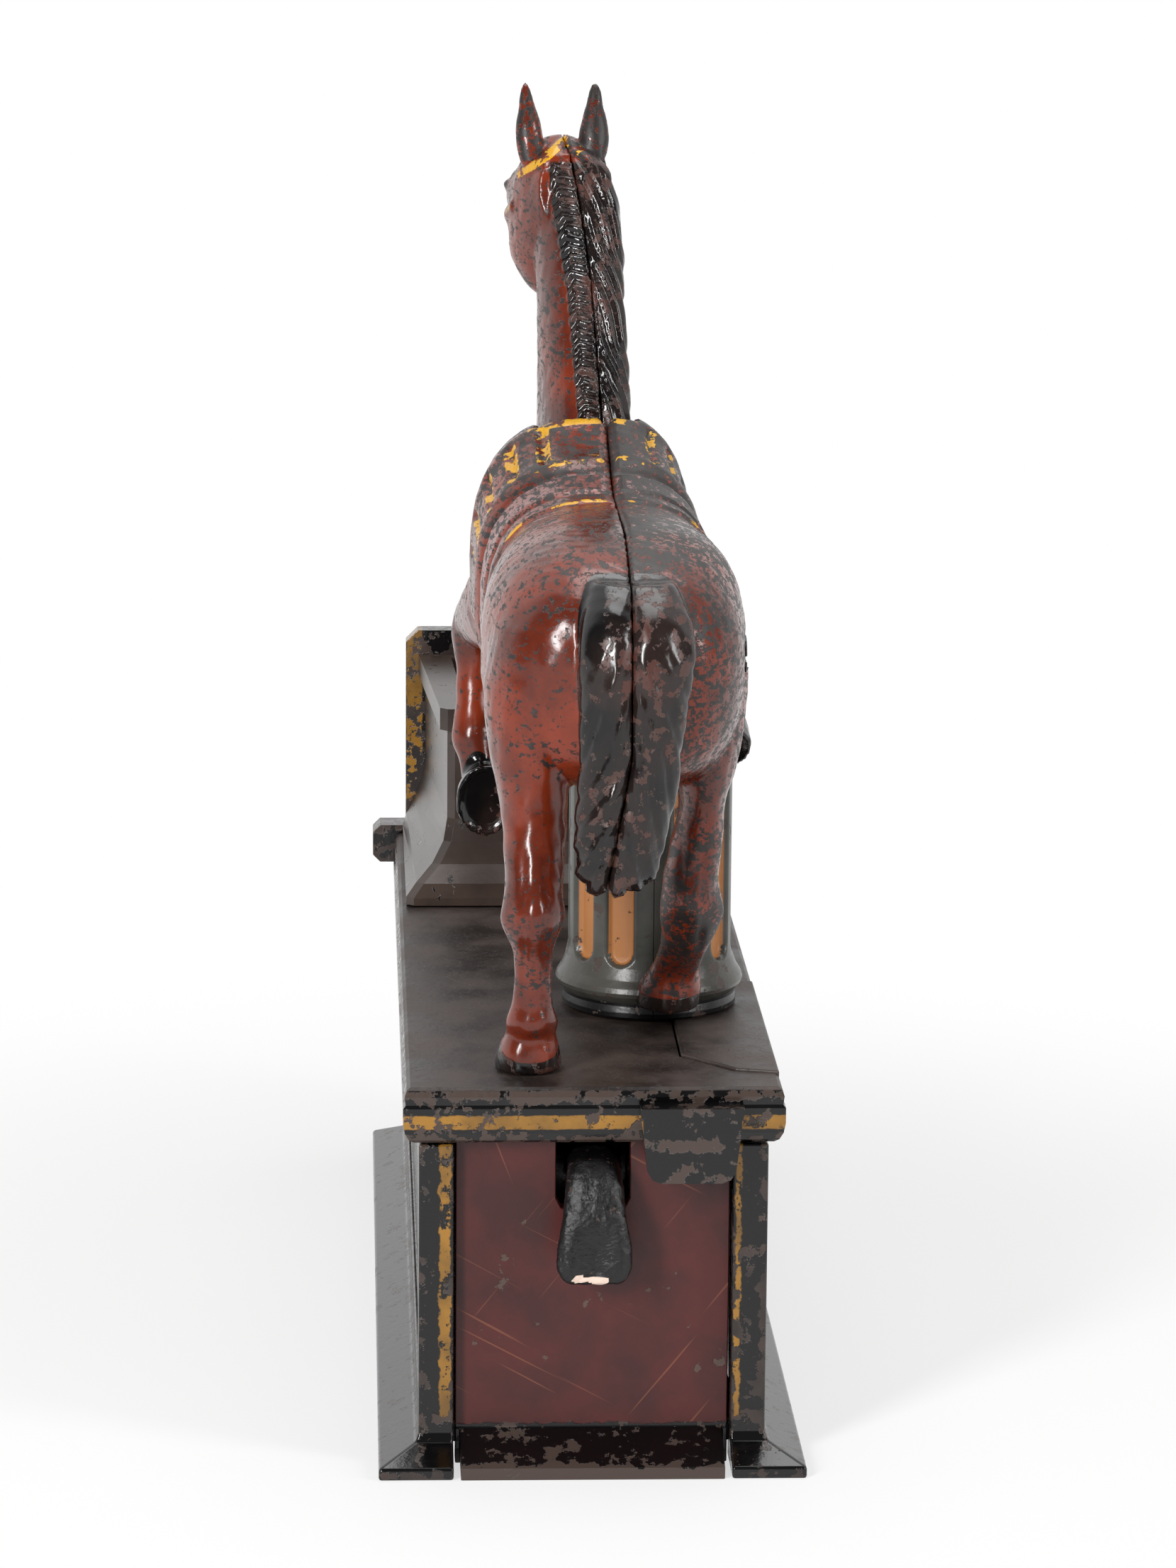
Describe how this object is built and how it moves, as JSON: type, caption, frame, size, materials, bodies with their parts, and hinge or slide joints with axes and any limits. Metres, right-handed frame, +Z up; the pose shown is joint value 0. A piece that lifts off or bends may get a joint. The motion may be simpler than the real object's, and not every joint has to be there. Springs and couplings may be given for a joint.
{
  "type": "figural animal coin bank",
  "caption": "Cast-iron mechanical bank: a prancing horse on a fluted column over a box base nods its neck into a manger when the rear thumb lever is pressed.",
  "frame": {"origin": "middle of the base's foot, on the surface the bank stands on", "axes": "+X to the horse's right, +Y the way the horse faces, +Z up"},
  "size_m": [0.06, 0.181, 0.1856],
  "materials": {
    "horse_enamel": "worn glossy red-brown enamel",
    "base_black": "chipped black enamel",
    "panel_maroon": "scratched maroon enamel",
    "deck_iron": "paint worn to bare iron",
    "manger_green": "dark grey-green enamel",
    "lever_black": "gloss black enamel",
    "steel": "dull steel"
  },
  "bodies": {
    "frame": {"base_left_side": "base_black", "base_right_side": "base_black", "base_rear_panel": "panel_maroon", "base_front_panel": "panel_maroon", "deck": "deck_iron", "bottom_plate": "base_black", "tie_bolt_rear": "steel", "tie_bolt_front": "steel", "coin_door_pin": "steel", "manger": "manger_green", "manger_backboard": "manger_green", "backboard_screw_left": "steel", "backboard_screw_right": "steel", "trough_flap_pin": "steel", "manger_screw_left": "steel", "manger_screw_right": "steel", "horse_left_half": "horse_enamel", "horse_right_half": "horse_enamel", "neck_pivot_pin": "steel", "body_screw": "steel", "deck_screw_left": "steel", "deck_screw_right": "steel", "lever_pivot_pin": "steel", "return_spring": "steel"},
    "neck": {"neck_left_half": "horse_enamel", "neck_right_half": "horse_enamel", "neck_crank_pin": "steel", "neck_rivet_upper": "steel", "neck_rivet_lower": "steel"},
    "lever": {"lever": "lever_black", "lever_link_pin": "steel"},
    "push_rod": {"push_rod": "steel"},
    "flap_link": {"flap_link": "steel"},
    "flap": {"trough_flap": "base_black", "flap_link_pin": "steel"},
    "coin_door": {"coin_door": "base_black"},
    "coin_door_latch": {"coin_door_latch": "steel"}
  },
  "joints": [
    {"name": "lever_press", "type": "hinge", "parent": "frame", "child": "lever", "pos_m": [0, -0.075, 0.041], "axis": [1, 0, 0], "range_deg": [0, 18], "stiffness_Nm_per_rad": 0.4, "springref_deg": -28.65, "deforming": ["return_spring"]},
    {"name": "rod_lift", "type": "slide", "parent": "frame", "child": "push_rod", "axis": [0, 0, 1], "range_m": [0, 0.01202]},
    {"name": "neck_nod", "type": "hinge", "parent": "frame", "child": "neck", "pos_m": [0.0018, 0.006, 0.1145], "axis": [-1, 0, 0], "range_deg": [0, 72.1]},
    {"name": "link_slide", "type": "slide", "parent": "frame", "child": "flap_link", "axis": [0, 0.9877, 0.1564], "range_m": [0, 0.00754]},
    {"name": "flap_open", "type": "hinge", "parent": "frame", "child": "flap", "pos_m": [0, 0.07, 0.0622], "axis": [1, 0, 0], "range_deg": [0, 40.1]},
    {"name": "coin_door_open", "type": "hinge", "parent": "frame", "child": "coin_door", "pos_m": [0, 0.045, 0.0035], "axis": [1, 0, 0], "range_deg": [0, 95]},
    {"name": "latch_turn", "type": "hinge", "parent": "coin_door", "child": "coin_door_latch", "pos_m": [0, 0.015, 0.003], "axis": [0, 0, -1], "range_deg": [0, 90]}
  ],
  "couplings": [
    {"joint": "rod_lift", "follows": "lever_press", "m_per_rad": 0.038165},
    {"joint": "neck_nod", "follows": "lever_press", "ratio": 4},
    {"joint": "link_slide", "follows": "lever_press", "m_per_rad": 0.02394},
    {"joint": "flap_open", "follows": "lever_press", "ratio": 2.2222}
  ]
}
